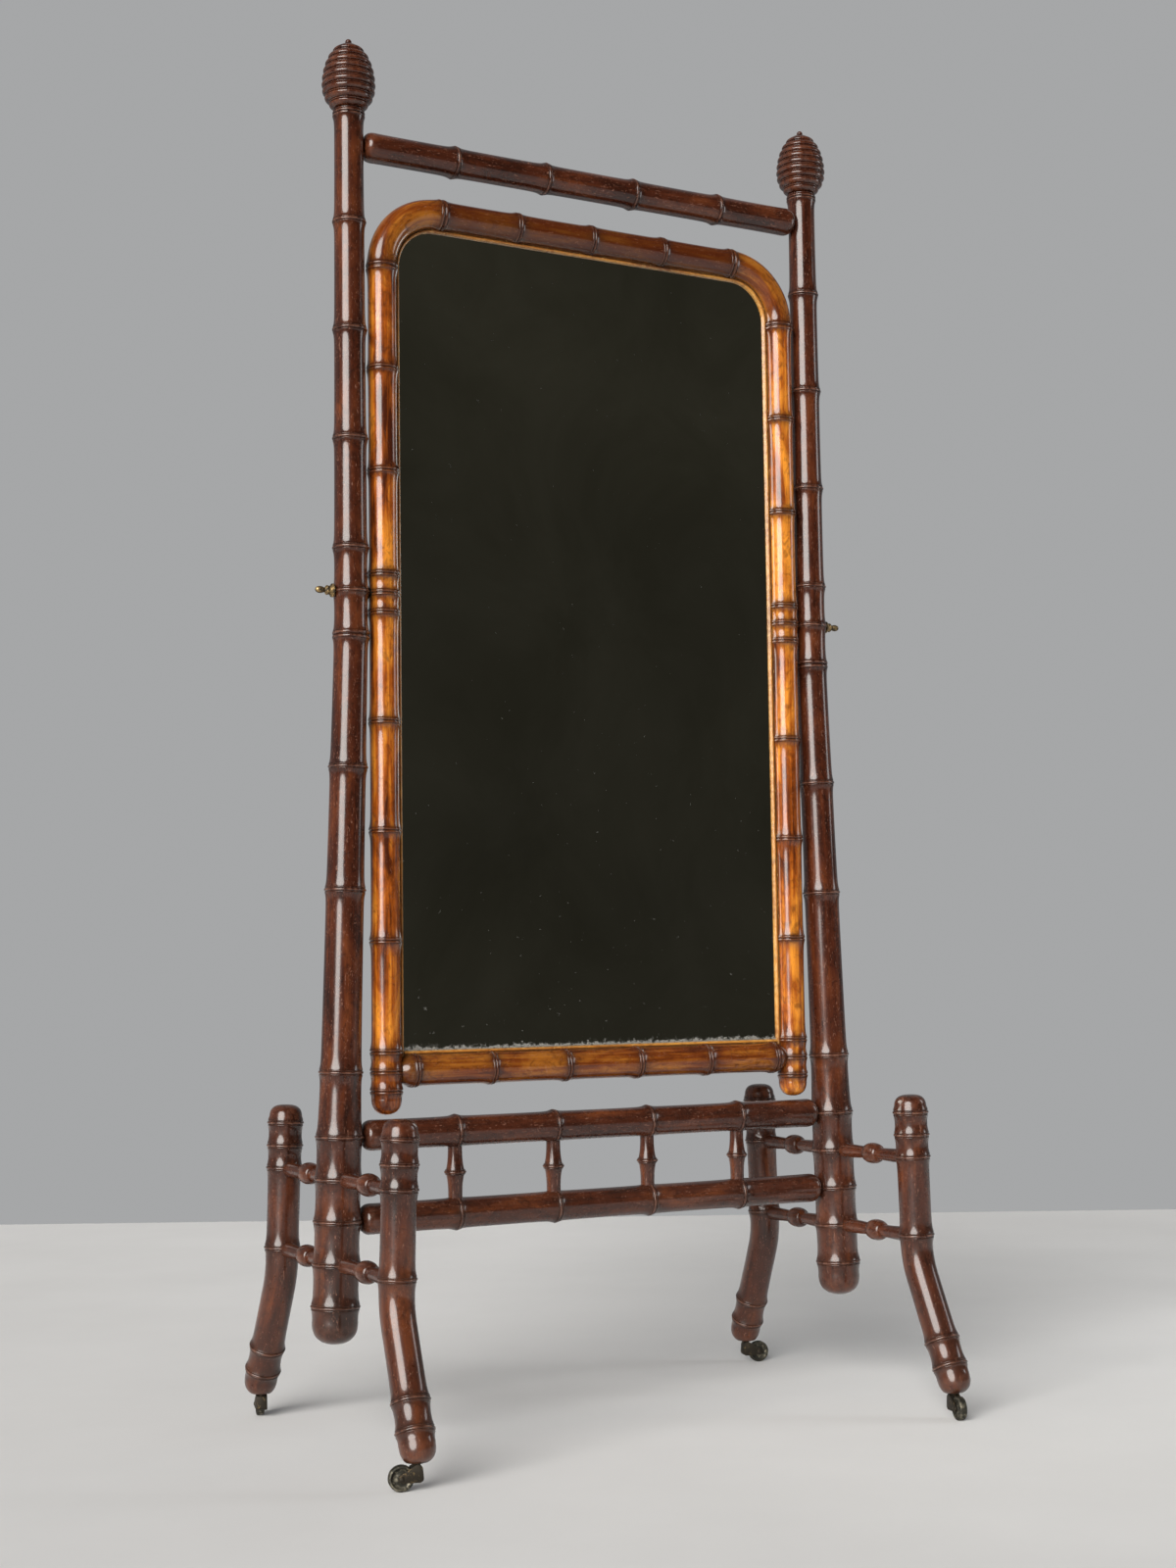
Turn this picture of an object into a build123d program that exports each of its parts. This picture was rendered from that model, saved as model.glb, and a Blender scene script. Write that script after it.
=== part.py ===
from build123d import *
import math
import os

# A cheval mirror in turned imitation bamboo. Two posts on four bent legs carry a framed
# looking glass, which tilts on two brass screws. Millimetres, +Z up, +Y to the back.
# The origin is on the floor, midway between the four castors.

# Posts
overall_height = 1850.0
post_spacing = 729.5  # upper posts, axis to axis
post_splay = 1.7  # degrees that each lower post leans outwards, going down
post_dome = 24.0
post_dome_drop = 20.0  # from the lowest ring to where the dome starts
post_foot_radius = 29.4
post_stretcher_radius = 28.7
post_shoulder_radius = 26.4
post_joint_radius = 22.4
post_top_radius = 19.6
base_ring_lowest = 180.0
base_ring_pitch = 53.4
shoulder_rise = 82.4  # from the base's top ring to the next one
lower_ring_shares = (0.413, 0.695)  # of the way from that ring up to the joint
pivot_ring_gap = 58.0  # from the pivot to the post's rings above it and below it
post_bays = 4
spigot_radius = 9.0
spigot_length = 30.0

# Beads, the rings of the imitation bamboo
bead_width = 6.0
bead_proud = 2.4
frame_bead_proud = 2.0
dome_steps = 4  # strips that make up a domed end

# Finials
finial_height = 99.0
finial_neck_radius = 18.6
finial_radius = 36.0
finial_widest = 0.36  # of the finial's height
finial_ridges = 9
finial_groove = 2.2
finial_nub_radius = 4.5
finial_nub_height = 5.0
finial_tenon_radius = 8.0
finial_tenon_length = 20.0

# Rails between the posts
rail_radius = 20.0
rail_dome = 16.0
rail_tenon_radius = 8.0
rail_tenon_length = 15.0
top_rail_drop = 39.0  # from the collar to the top rail's axis
top_rail_ring_pitch = 140.7
stretcher_ring_pitch = 146.7
rail_rings = 4

# Spindles between the two stretchers
baluster_radius = 10.0
baluster_flare_radius = 11.6
baluster_flare = 8.0
baluster_housing = 9.0  # how far each end goes into its stretcher's ring

# Legs
leg_offset = 188.3  # from the post's axis to the leg's
leg_radius = 22.1
leg_dome = 20.0
leg_dome_rise = 7.2  # from the top ring to where the dome starts
leg_ring_pitch = 29.4
leg_bend_drop = 33.4  # from the lower spindle down to where the leg's axes cross
leg_bend_radius = 110.0
foot_offset = 254.0  # from the post's axis to the middle of the foot's dome
foot_rise = 20.5  # from the foot's flat to the middle of its dome
foot_ring_heights = (19.5, 54.5)  # above the middle of the dome, along the foot

# Spindles between posts and legs
spindle_radius = 9.2
spindle_ball_radius = 14.5
spindle_housing = 12.0  # how far each end goes into a ring of the post or the leg

# Castors
foot_flat_height = 33.0
socket_radius = 6.5
socket_length = 34.0
socket_flange_radius = 8.0
socket_flange = 1.2
stem_radius = 4.0
stem_length = 30.0
horn_head_radius = 6.0
horn_nose_radius = 5.0
horn_eye_radius = 4.5
cheek_thickness = 2.0
wheel_radius = 15.5
wheel_width = 10.0
wheel_chamfer = 1.0
axle_radius = 2.0
castor_trail = 19.0
castor_directions = {"front_left": 165, "rear_left": 75, "front_right": -105, "rear_right": -15}

# Mirror frame
stile_gap = 47.0  # from a stile's axis to its post's
rod_radius = 19.6
frame_top_drop = 77.8  # between the axes of the stand's top rail and the frame's
frame_bottom_rise = 81.7  # between the axes of the upper stretcher and the frame's bottom rail
pivot_share = 0.5436  # the pivot's place on the frame, from its bottom rail to its top rail
corner_reach = 85.4  # from the stile's axis to the corner's joint with the top rail
frame_bottom_radius = 20.6
stile_dome = 19.0
stile_dome_drop = 11.7  # from the stile's lowest ring to where its dome starts
pivot_ring_pitch = 25.6
bottom_ring_pitch = 25.3
stile_upper_bays = 3
stile_lower_bays = 4
frame_top_bays = 4
frame_bottom_bays = 5
neck_ring_inset = 37.3  # from the stile's axis to the bottom rail's end ring
neck_radius = 13.5
frame_tenon_radius = 8.0
frame_tenon_length = 12.0

# Glass, its slip moulding and back board; insets are inwards from the rods' axes
slip_seat_inset = 16.3
slip_width = 10.0
slip_front = -7.0
slip_depth = 10.0
rebate_inset = 8.0
glass_thickness = 4.0
board_thickness = 6.0

# Pivot screws
screw_radius = 4.0
bush_radius = 7.0
bush_depth = 24.0
knob_flange_radius = 9.0
knob_flange = 2.5
knob_waist_radius = 5.6
knob_collar_radius = 6.4
knob_neck_radius = 3.2
knob_ball_radius = 4.4
knob_length = 25.0

# Clearances
seat_gap = 0.1  # a shoulder from what it butts
glue_gap = 0.02  # a tenon or a pressed pin in its hole, on the radius
running_gap = 0.05  # a shaft in its bore, on the radius
moving_gap = 0.4  # faces of pieces that turn against each other
glass_gap = 1.0  # round the edge of the glass and the board

half_post_spacing = post_spacing / 2
half_stile_spacing = half_post_spacing - stile_gap
stile_spacing = 2 * half_stile_spacing
base_rings = [base_ring_lowest + base_ring_pitch * i for i in range(5)]
lower_spindle_height, upper_spindle_height = base_rings[1], base_rings[3]
lower_stretcher_height, upper_stretcher_height = base_rings[2], base_rings[4]
collar_height = overall_height - finial_height - bead_width
top_rail_height = collar_height - top_rail_drop
frame_top_height = top_rail_height - frame_top_drop
frame_bottom_height = upper_stretcher_height + frame_bottom_rise
pivot_height = frame_bottom_height + pivot_share * (frame_top_height - frame_bottom_height)
joint_height = pivot_height - pivot_ring_gap  # where the lower post meets the upper one
frame_top = frame_top_height - pivot_height
frame_bottom = frame_bottom_height - pivot_height
shoulder_height = upper_stretcher_height + shoulder_rise
post_waist_height = joint_height - shoulder_height
lower_rings = [shoulder_height + share * post_waist_height for share in lower_ring_shares]
leg_bend_height = lower_spindle_height - leg_bend_drop
foot_height = foot_flat_height + foot_rise
slip_back = slip_front + slip_depth
corner_bend_radius = corner_reach - bead_width
sides = {"left": -1, "right": 1}
ends = {"front": -1, "rear": 1}

lower_post_stations = [
    (post_foot_radius, base_ring_lowest - post_dome_drop),
    (post_stretcher_radius, upper_stretcher_height),
    (post_shoulder_radius, shoulder_height),
    (post_joint_radius, joint_height),
]
upper_post_stations = [
    (post_joint_radius, joint_height),
    (post_top_radius, collar_height + bead_width),
]


def radius_at(stations, height):
    """The radius at a height, on the straight tapers between (radius, height) stations."""
    height = min(max(height, stations[0][1]), stations[-1][1])
    below = [station for station in stations if station[1] <= height][-1]
    above = [station for station in stations if station[1] >= height][0]
    if above == below:
        return below[0]
    share = (height - below[1]) / (above[1] - below[1])
    return below[0] + share * (above[0] - below[0])


def singles(heights):
    """Single beads at these heights, as (height, width)."""
    return [(height, bead_width) for height in heights]


def doubles(heights):
    """Double rings at these heights, each as one bead of twice the width."""
    return [(height, 2 * bead_width) for height in heights]


def evenly(low, high, bays):
    """The heights between low and high that part them into equal bays, without the two ends."""
    return [low + (high - low) * i / bays for i in range(1, bays)]


def ringed(stations, beads, proud=bead_proud):
    """The outline of a turning with beads, and between them bays that thin down by the stations."""
    outline = []
    start = stations[0][1]
    for height, width in sorted(beads):
        outline += bay(stations, start, height - width / 2)
        outline.append((radius_at(stations, height) + proud, height))
        start = height + width / 2
    return outline + bay(stations, start, stations[-1][1])


def bay(stations, start, end):
    """The straight outline from one bead to the next, or one point where two beads meet."""
    radius = radius_at(stations, (start + end) / 2)
    if end - start < 0.001:
        return [(radius, start)]
    return [(radius, start), (radius, end)]


def dome(radius, rise):
    """A quarter ellipse from beside its rim to its tip, as (radius, height) above the rim."""
    angles = [math.pi / 2 * i / dome_steps for i in range(1, dome_steps)]
    return [(radius * math.cos(angle), rise * math.sin(angle)) for angle in angles] + [(0, rise)]


def turned(outline, dome_below=0.0, dome_above=0.0):
    """A turning about Z from (radius, height) points; a dome rounds off that end."""
    low_radius, low = outline[0]
    high_radius, high = outline[-1]
    below = [(0, low)]
    if dome_below:
        below = [(radius, low - rise) for radius, rise in reversed(dome(low_radius, dome_below))]
    above = [(0, high)]
    if dome_above:
        above = [(radius, high + rise) for radius, rise in dome(high_radius, dome_above)]
    profile = make_face(Polyline(*below, *outline, *above, close=True))
    return revolve(Plane.XZ * profile, Axis.Z)


def peg(start, direction, radius, length):
    """A round peg, or the cutter for its hole, from a point along a direction."""
    upwards = (Align.CENTER, Align.CENTER, Align.MIN)
    return Plane(origin=start, z_dir=direction) * Cylinder(radius, length, align=upwards)


def hole(start, direction, radius, length, gap=glue_gap):
    """The cutter for a hole that a peg of this size fits with a gap; it also clears the mouth."""
    back = Vector(*start) - Vector(*direction).normalized() * radius
    return peg(back, direction, radius + gap, length + radius + gap)


def on_side(side):
    """The place of a splayed side frame, whose post's axis is Z before it is placed."""
    joint = Pos(side * half_post_spacing, 0, joint_height)
    return joint * Rot(0, -side * post_splay, 0) * Pos(0, 0, -joint_height)


def post_axis(side, height):
    """The point of a lower post's axis at a height along it."""
    return (on_side(side) * Pos(0, 0, height)).position


def leg_seat(height):
    """How far a bead's crest on the lower post stands from the post's axis."""
    return radius_at(lower_post_stations, height) + bead_proud


def stretcher_half_length(height):
    """Half the length of a stretcher, to where its domed ends meet the posts' rings."""
    return post_axis(1, height).X - leg_seat(height) - seat_gap


def lower_post(side):
    """A lower post, with mortises for two stretchers and four spindles, and a spigot on top."""
    rings = base_rings + [shoulder_height] + lower_rings + [joint_height - bead_width / 2]
    outline = ringed(lower_post_stations, singles(rings))
    over = post_joint_radius * math.tan(math.radians(post_splay))
    outline.append((post_joint_radius, joint_height + over))
    post = turned(outline, dome_below=post_dome)
    for height in (lower_spindle_height, upper_spindle_height):
        for end in ends.values():
            mouth = (0, end * leg_seat(height), height)
            inwards = (0, -end, 0)
            post -= hole(mouth, inwards, spindle_radius, spindle_housing)
    post = on_side(side) * post
    for height in (lower_stretcher_height, upper_stretcher_height):
        mouth = (side * stretcher_half_length(height), 0, post_axis(side, height).Z)
        post -= hole(mouth, (side, 0, 0), rail_tenon_radius, rail_tenon_length)
    joint = (side * half_post_spacing, 0, joint_height)
    above_joint = peg(joint, (0, 0, 1), 2 * post_joint_radius, 2 * over)
    return post - above_joint + peg(joint, (0, 0, 1), spigot_radius, spigot_length)


def upper_post(side):
    """An upper post, bored for the pivot screw, the top rail, the finial and the spigot below."""
    first = pivot_height + pivot_ring_gap
    rings = [joint_height + bead_width / 2, pivot_height, first]
    rings += evenly(first, collar_height, post_bays)
    beads = singles(rings) + doubles([collar_height])
    post = Pos(side * half_post_spacing, 0, 0) * turned(ringed(upper_post_stations, beads))
    axis_x = side * half_post_spacing
    post -= hole((axis_x, 0, joint_height), (0, 0, 1), spigot_radius, spigot_length)
    top = (axis_x, 0, collar_height + bead_width)
    post -= hole(top, (0, 0, -1), finial_tenon_radius, finial_tenon_length)
    mouth = (side * top_rail_half_length, 0, top_rail_height)
    post -= hole(mouth, (side, 0, 0), rail_tenon_radius, rail_tenon_length)
    inner = (side * (half_post_spacing - 2 * post_joint_radius), 0, pivot_height)
    bore = screw_radius + running_gap
    return post - peg(inner, (side, 0, 0), bore, 4 * post_joint_radius)


def finial_radius_at(height):
    """The egg outline of a finial: two half ellipses that meet at its widest place."""
    body = finial_height - finial_nub_height
    widest = finial_widest * body
    if height > widest:
        share = (height - widest) / (body - widest)
        return max(finial_radius * math.sqrt(1 - share**2), finial_nub_radius)
    neck = math.sqrt(1 - (finial_neck_radius / finial_radius) ** 2)
    return finial_radius * math.sqrt(1 - (neck * (widest - height) / widest) ** 2)


def finial():
    """A beehive finial, ridged all round, with a small nub and a tenon below."""
    outline = [(finial_tenon_radius, -finial_tenon_length), (finial_tenon_radius, 0)]
    outline.append((finial_neck_radius, 0))
    pitch = (finial_height - finial_nub_height) / (finial_ridges + 0.5)
    for ridge in range(finial_ridges):
        crest = (ridge + 0.6) * pitch
        outline.append((finial_radius_at(crest), crest))
        dip = crest + pitch / 2
        outline.append((max(finial_radius_at(dip) - finial_groove, finial_nub_radius), dip))
    outline.append((finial_nub_radius, finial_height - finial_nub_height))
    return turned(outline, dome_above=finial_nub_height)


def rail(half_length, ring_pitch):
    """A rail along X with domed ends, four rings and a tenon at each end."""
    straight = half_length - rail_dome
    first = -ring_pitch * (rail_rings - 1) / 2
    rings = [first + ring_pitch * i for i in range(rail_rings)]
    outline = ringed([(rail_radius, -straight), (rail_radius, straight)], singles(rings))
    body = turned(outline, dome_below=rail_dome, dome_above=rail_dome)
    length = 2 * (half_length + rail_tenon_length)
    body += Cylinder(rail_tenon_radius, length)
    return Rot(0, 90, 0) * body


def stretcher_ring_places():
    """The places along X of a stretcher's rings, where the balusters stand."""
    return [stretcher_ring_pitch * (i - (rail_rings - 1) / 2) for i in range(rail_rings)]


def stretcher(height, towards_other):
    """A stretcher, bored on the side of the other one for the balusters' tenons."""
    level = post_axis(1, height).Z
    body = Pos(0, 0, level) * rail(stretcher_half_length(height), stretcher_ring_pitch)
    crest = rail_radius + bead_proud
    for place in stretcher_ring_places():
        mouth = (place, 0, level + towards_other * crest)
        inwards = (0, 0, -towards_other)
        body -= hole(mouth, inwards, baluster_radius, baluster_housing)
    return body


def balusters():
    """The spindles between the two stretchers, each with a bead at the middle of a flare."""
    low = post_axis(1, lower_stretcher_height).Z + rail_radius + bead_proud - baluster_housing
    high = post_axis(1, upper_stretcher_height).Z - rail_radius - bead_proud + baluster_housing
    middle = (low + high) / 2
    flare = [(baluster_flare_radius, middle + way * baluster_flare) for way in (-1, 1)]
    bead = [(baluster_flare_radius, middle - bead_width / 2)]
    bead += [(baluster_flare_radius + bead_proud, middle)]
    bead += [(baluster_flare_radius, middle + bead_width / 2)]
    ends_low = [(baluster_radius, low), (baluster_radius, middle - baluster_flare)]
    ends_high = [(baluster_radius, middle + baluster_flare), (baluster_radius, high)]
    one = turned(ends_low + flare[:1] + bead + flare[1:] + ends_high)
    return Compound([Pos(place, 0, 0) * one for place in stretcher_ring_places()])


def leg_spindles(side):
    """The four spindles that tie one post to its two legs, each with a ball at the middle."""
    solids = []
    for height in (lower_spindle_height, upper_spindle_height):
        near = leg_seat(height) - spindle_housing + seat_gap
        far = leg_offset - leg_radius - bead_proud + spindle_housing - seat_gap
        middle = (leg_seat(height) + leg_offset - leg_radius - bead_proud) / 2
        reach = math.sqrt(spindle_ball_radius**2 - spindle_radius**2)
        chord = spindle_ball_radius * math.sqrt(3) / 2
        outline = [(spindle_radius, near), (spindle_radius, middle - reach)]
        outline += [(chord, middle - spindle_ball_radius / 2), (chord, middle + spindle_ball_radius / 2)]
        outline += [(spindle_radius, middle + reach), (spindle_radius, far)]
        one = turned(outline)
        for end in ends.values():
            solids.append(on_side(side) * Pos(0, 0, height) * Rot(-90 * end, 0, 0) * one)
    return Compound(solids)


def leg(side, end):
    """A leg: an upright turning, a bend outwards and a domed foot cut flat for its castor."""
    tilt = math.atan2(foot_offset - leg_offset, leg_bend_height - foot_height)
    setback = leg_bend_radius * math.tan(tilt / 2)
    bend_start = leg_bend_height + setback
    rings = [lower_spindle_height] + [upper_spindle_height + leg_ring_pitch * i for i in range(3)]
    stations = [(leg_radius, bend_start), (leg_radius, rings[-1] + leg_dome_rise)]
    upright = turned(ringed(stations, singles(rings)), dome_above=leg_dome)
    centre_line = Axis((0, leg_bend_radius, bend_start), (1, 0, 0))
    bend = revolve(Pos(0, 0, bend_start) * Circle(leg_radius), centre_line, math.degrees(tilt))
    foot_length = math.hypot(foot_offset - leg_offset, leg_bend_height - foot_height) - setback
    foot_stations = [(leg_radius, -foot_length), (leg_radius, 0)]
    foot_rings = [height - foot_length for height in foot_ring_heights]
    foot = turned(ringed(foot_stations, singles(foot_rings)), dome_below=leg_radius)
    drop = leg_bend_radius * math.sin(tilt)
    spread = leg_bend_radius * (1 - math.cos(tilt))
    foot = Pos(0, spread, bend_start - drop) * Rot(math.degrees(tilt), 0, 0) * foot
    body = Pos(0, leg_offset, 0) * (upright + bend + foot)
    for height in (lower_spindle_height, upper_spindle_height):
        mouth = (0, leg_offset - leg_radius - bead_proud, height)
        body -= hole(mouth, (0, 1, 0), spindle_radius, spindle_housing)
    body = on_side(side) * Rot(0, 0, 0 if end > 0 else 180) * body
    under = castor_place(side, end) + Vector(0, 0, foot_flat_height)
    body -= peg(under, (0, 0, -1), 3 * leg_radius, leg_radius)
    return body - peg(under, (0, 0, 1), socket_radius + glue_gap, socket_length)


def castor_place(side, end):
    """The point on the floor below the middle of a foot's dome."""
    dome = (on_side(side) * Pos(0, end * foot_offset, foot_height)).position
    return Vector(dome.X, dome.Y, 0)


def castor_socket():
    """The brass sleeve in a foot, with a flange below, on the castor's swivel axis."""
    sleeve = peg((0, 0, foot_flat_height), (0, 0, 1), socket_radius, socket_length)
    flange = peg((0, 0, foot_flat_height), (0, 0, -1), socket_flange_radius, socket_flange)
    inside = peg((0, 0, 0), (0, 0, 1), stem_radius + running_gap, foot_flat_height + stem_length + 1)
    return sleeve + flange - inside


def castor_horn():
    """The castor's forked arm, from its stem in the socket to the axle behind it."""
    head_top = foot_flat_height - socket_flange - moving_gap
    head_height = head_top - horn_head_radius
    nose_x = castor_trail - wheel_radius - moving_gap - horn_nose_radius
    head = Pos(0, head_height) * Circle(horn_head_radius)
    nose = Pos(nose_x, wheel_radius) * Circle(horn_nose_radius)
    eye = Pos(castor_trail, wheel_radius) * Circle(horn_eye_radius)
    half_width = wheel_width / 2 + moving_gap + cheek_thickness
    arm = extrude(Plane.XZ * make_hull((head + nose + eye).edges()), half_width, both=True)
    slot_depth = wheel_radius + moving_gap
    slot = Plane.XZ * Pos(castor_trail, wheel_radius) * Circle(slot_depth)
    arm -= extrude(slot, wheel_width / 2 + moving_gap, both=True)
    stem = peg((0, 0, head_height), (0, 0, 1), stem_radius, foot_flat_height - head_height + stem_length)
    axle_hole = peg((castor_trail, -half_width, wheel_radius), (0, 1, 0), axle_radius + glue_gap, 2 * half_width)
    return arm + stem - axle_hole


def castor_axle():
    """The pin that carries the wheel, as long as the horn is wide."""
    half_width = wheel_width / 2 + moving_gap + cheek_thickness
    return peg((castor_trail, -half_width, wheel_radius), (0, 1, 0), axle_radius, 2 * half_width)


def castor_wheel():
    """The castor's wheel, with eased edges and a bore for the axle."""
    half = wheel_width / 2
    bore = axle_radius + running_gap
    rim = wheel_radius - wheel_chamfer
    outline = [(bore, -half), (rim, -half), (wheel_radius, wheel_chamfer - half)]
    outline += [(wheel_radius, half - wheel_chamfer), (rim, half), (bore, half)]
    profile = make_face(Polyline(*outline, close=True))
    wheel = revolve(Plane.XZ * profile, Axis.Z)
    return Pos(castor_trail, 0, wheel_radius) * Rot(90, 0, 0) * wheel


def window(inset, front, back):
    """The space inside the frame's rods, by an inset from their axes, from front to back."""
    low = pivot_height + frame_bottom + inset
    high = pivot_height + frame_top - inset
    outline = Pos(0, (low + high) / 2) * Rectangle(stile_spacing - 2 * inset, high - low)
    top_corners = outline.vertices().group_by(Axis.Y)[-1]
    outline = fillet(top_corners, corner_bend_radius - inset)
    return extrude(Plane.XZ.offset(-back) * outline, back - front)


def rebated(rod):
    """A frame rod with its seat for the slip moulding and its rebate for the glass and board."""
    rod -= window(slip_seat_inset, slip_front, slip_back)
    return rod - window(rebate_inset, slip_back, 2 * rod_radius)


def stile(side):
    """A stile: domed below, ringed all the way, bored for the bottom rail and the pivot bush."""
    corner_joint = frame_top - corner_reach
    pivot_rings = [-pivot_ring_pitch, 0, pivot_ring_pitch]
    foot_rings = [frame_bottom - bottom_ring_pitch, frame_bottom, frame_bottom + bottom_ring_pitch]
    rings = foot_rings + evenly(foot_rings[-1], pivot_rings[0], stile_lower_bays)
    rings += pivot_rings + evenly(pivot_rings[-1], corner_joint, stile_upper_bays)
    beads = doubles(rings) + singles([corner_joint - bead_width / 2])
    stations = [(rod_radius, foot_rings[0] - stile_dome_drop), (rod_radius, corner_joint)]
    rod = turned(ringed(stations, beads, frame_bead_proud), dome_below=stile_dome)
    rod = rebated(Pos(side * half_stile_spacing, 0, pivot_height) * rod)
    mouth = (side * bottom_rail_half_length, 0, pivot_height + frame_bottom)
    rod -= hole(mouth, (side, 0, 0), frame_tenon_radius, frame_tenon_length)
    bush_mouth = (side * (half_stile_spacing + rod_radius), 0, pivot_height)
    return rod - hole(bush_mouth, (-side, 0, 0), bush_radius, bush_depth)


def frame_corner(side):
    """A quarter bend from a stile to the top rail, with a bead at each end."""
    collar = [(rod_radius, 0), (rod_radius + frame_bead_proud, bead_width / 2), (rod_radius, bead_width)]
    collar = turned(collar)
    joint_height_above = frame_top - corner_reach
    bend_from = joint_height_above + bead_width
    axis_x = -half_stile_spacing + corner_bend_radius
    bend_axis = Axis((axis_x, 0, bend_from), (0, 1, 0))
    bend = revolve(Pos(-half_stile_spacing, 0, bend_from) * Circle(rod_radius), bend_axis, 90)
    lower = Pos(-half_stile_spacing, 0, joint_height_above) * collar
    upper = Pos(axis_x, 0, frame_top) * Rot(0, 90, 0) * collar
    corner = Pos(0, 0, pivot_height) * (lower + bend + upper)
    if side > 0:
        corner = mirror(corner, Plane.YZ)
    return rebated(corner)


def frame_top_rail():
    """The frame's top rail, between the two corners."""
    half = half_stile_spacing - corner_reach
    beads = doubles(evenly(-half, half, frame_top_bays))
    beads += singles([-half + bead_width / 2, half - bead_width / 2])
    rod = turned(ringed([(rod_radius, -half), (rod_radius, half)], beads, frame_bead_proud))
    return rebated(Pos(0, 0, pivot_height + frame_top) * Rot(0, 90, 0) * rod)


def frame_bottom_rail():
    """The frame's bottom rail, whose necks and tenons run into the stiles."""
    ring_span = half_stile_spacing - neck_ring_inset
    rings = [-ring_span] + evenly(-ring_span, ring_span, frame_bottom_bays) + [ring_span]
    full = ring_span + bead_width
    stations = [(frame_bottom_radius, -full), (frame_bottom_radius, full)]
    half = bottom_rail_half_length
    outline = [(neck_radius, -half)] + ringed(stations, doubles(rings), frame_bead_proud)
    rod = turned(outline + [(neck_radius, half)])
    rod += Cylinder(frame_tenon_radius, 2 * (half + frame_tenon_length))
    return rebated(Pos(0, 0, pivot_height + frame_bottom) * Rot(0, 90, 0) * rod)


def slip_pieces():
    """The slip moulding round the glass, cut into a top piece with bends, two sides and a foot."""
    ring = window(slip_seat_inset, slip_front, slip_back)
    ring -= window(slip_seat_inset + slip_width, slip_front - 1, slip_back + 1)
    size = 2 * overall_height
    joint = pivot_height + frame_top - corner_reach
    above = Pos(0, 0, joint) * Box(size, size, size, align=(Align.CENTER, Align.CENTER, Align.MIN))
    inner_half = half_stile_spacing - slip_seat_inset - slip_width
    below = pivot_height + frame_bottom + slip_seat_inset + slip_width
    foot_box = Box(2 * inner_half, size, size, align=(Align.CENTER, Align.CENTER, Align.MAX))
    foot_zone = Pos(0, 0, below) * foot_box
    rest = ring - above - foot_zone
    left, right = rest.solids().sort_by(Axis.X)
    return {"slip_top": ring & above, "slip_bottom": ring & foot_zone, "slip_left": left, "slip_right": right}


def pivot_bush(side):
    """The brass bush in a stile that the pivot screw enters."""
    crest = radius_at(upper_post_stations, pivot_height) + bead_proud
    face = half_post_spacing - crest - moving_gap
    inner = half_stile_spacing + rod_radius - bush_depth
    start = (side * inner, 0, pivot_height)
    bush = peg(start, (side, 0, 0), bush_radius, face - inner)
    return bush - peg(start, (side, 0, 0), screw_radius + running_gap, face - inner)


def pivot_screw(side):
    """A brass pivot screw with its turned knob, through the post and into the stile's bush."""
    knob = [
        (knob_flange_radius, 0),
        (knob_flange_radius, knob_flange),
        (knob_waist_radius, 0.28 * knob_length),
        (knob_collar_radius, 0.36 * knob_length),
        (knob_neck_radius, 0.5 * knob_length),
        (knob_ball_radius, 0.66 * knob_length),
        (knob_ball_radius, knob_length - knob_ball_radius),
    ]
    crest = radius_at(upper_post_stations, pivot_height) + bead_proud
    seat = half_post_spacing + crest + moving_gap
    turning = turned(knob, dome_above=knob_ball_radius)
    screw = Pos(side * seat, 0, pivot_height) * Rot(0, 90 * side, 0) * turning
    tip = half_stile_spacing + rod_radius - bush_depth + screw_radius
    return screw + peg((side * tip, 0, pivot_height), (side, 0, 0), screw_radius, seat - tip)


top_bay_middle = collar_height - (collar_height - pivot_height - pivot_ring_gap) / post_bays / 2
top_rail_half_length = half_post_spacing - radius_at(upper_post_stations, top_bay_middle) - seat_gap
bottom_rail_half_length = half_stile_spacing - rod_radius - frame_bead_proud - seat_gap


def build_stand():
    """Every piece of the stand, by name."""
    pieces = {}
    pieces["top_rail"] = Pos(0, 0, top_rail_height) * rail(top_rail_half_length, top_rail_ring_pitch)
    pieces["upper_stretcher"] = stretcher(upper_stretcher_height, -1)
    pieces["lower_stretcher"] = stretcher(lower_stretcher_height, 1)
    pieces["stretcher_balusters"] = balusters()
    top = collar_height + bead_width
    both = [Pos(side * half_post_spacing, 0, top) * finial() for side in sides.values()]
    pieces["finials"] = Compound(both)
    for side_name, side in sides.items():
        pieces[f"lower_post_{side_name}"] = lower_post(side)
        pieces[f"upper_post_{side_name}"] = upper_post(side)
        pieces[f"leg_spindles_{side_name}"] = leg_spindles(side)
        for end_name, end in ends.items():
            pieces[f"leg_{end_name}_{side_name}"] = leg(side, end)
    return pieces


def build_castors():
    """The four sockets in the feet, and each castor's horn, axle and wheel, by name."""
    pieces = {}
    sockets = []
    for side_name, side in sides.items():
        for end_name, end in ends.items():
            corner = f"{end_name}_{side_name}"
            place = Pos(castor_place(side, end)) * Rot(0, 0, castor_directions[corner])
            sockets.append(place * castor_socket())
            pieces[f"castor_horn_{corner}"] = place * castor_horn()
            pieces[f"castor_axle_{corner}"] = place * castor_axle()
            pieces[f"castor_wheel_{corner}"] = place * castor_wheel()
    pieces["castor_sockets"] = Compound(sockets)
    return pieces


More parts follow.
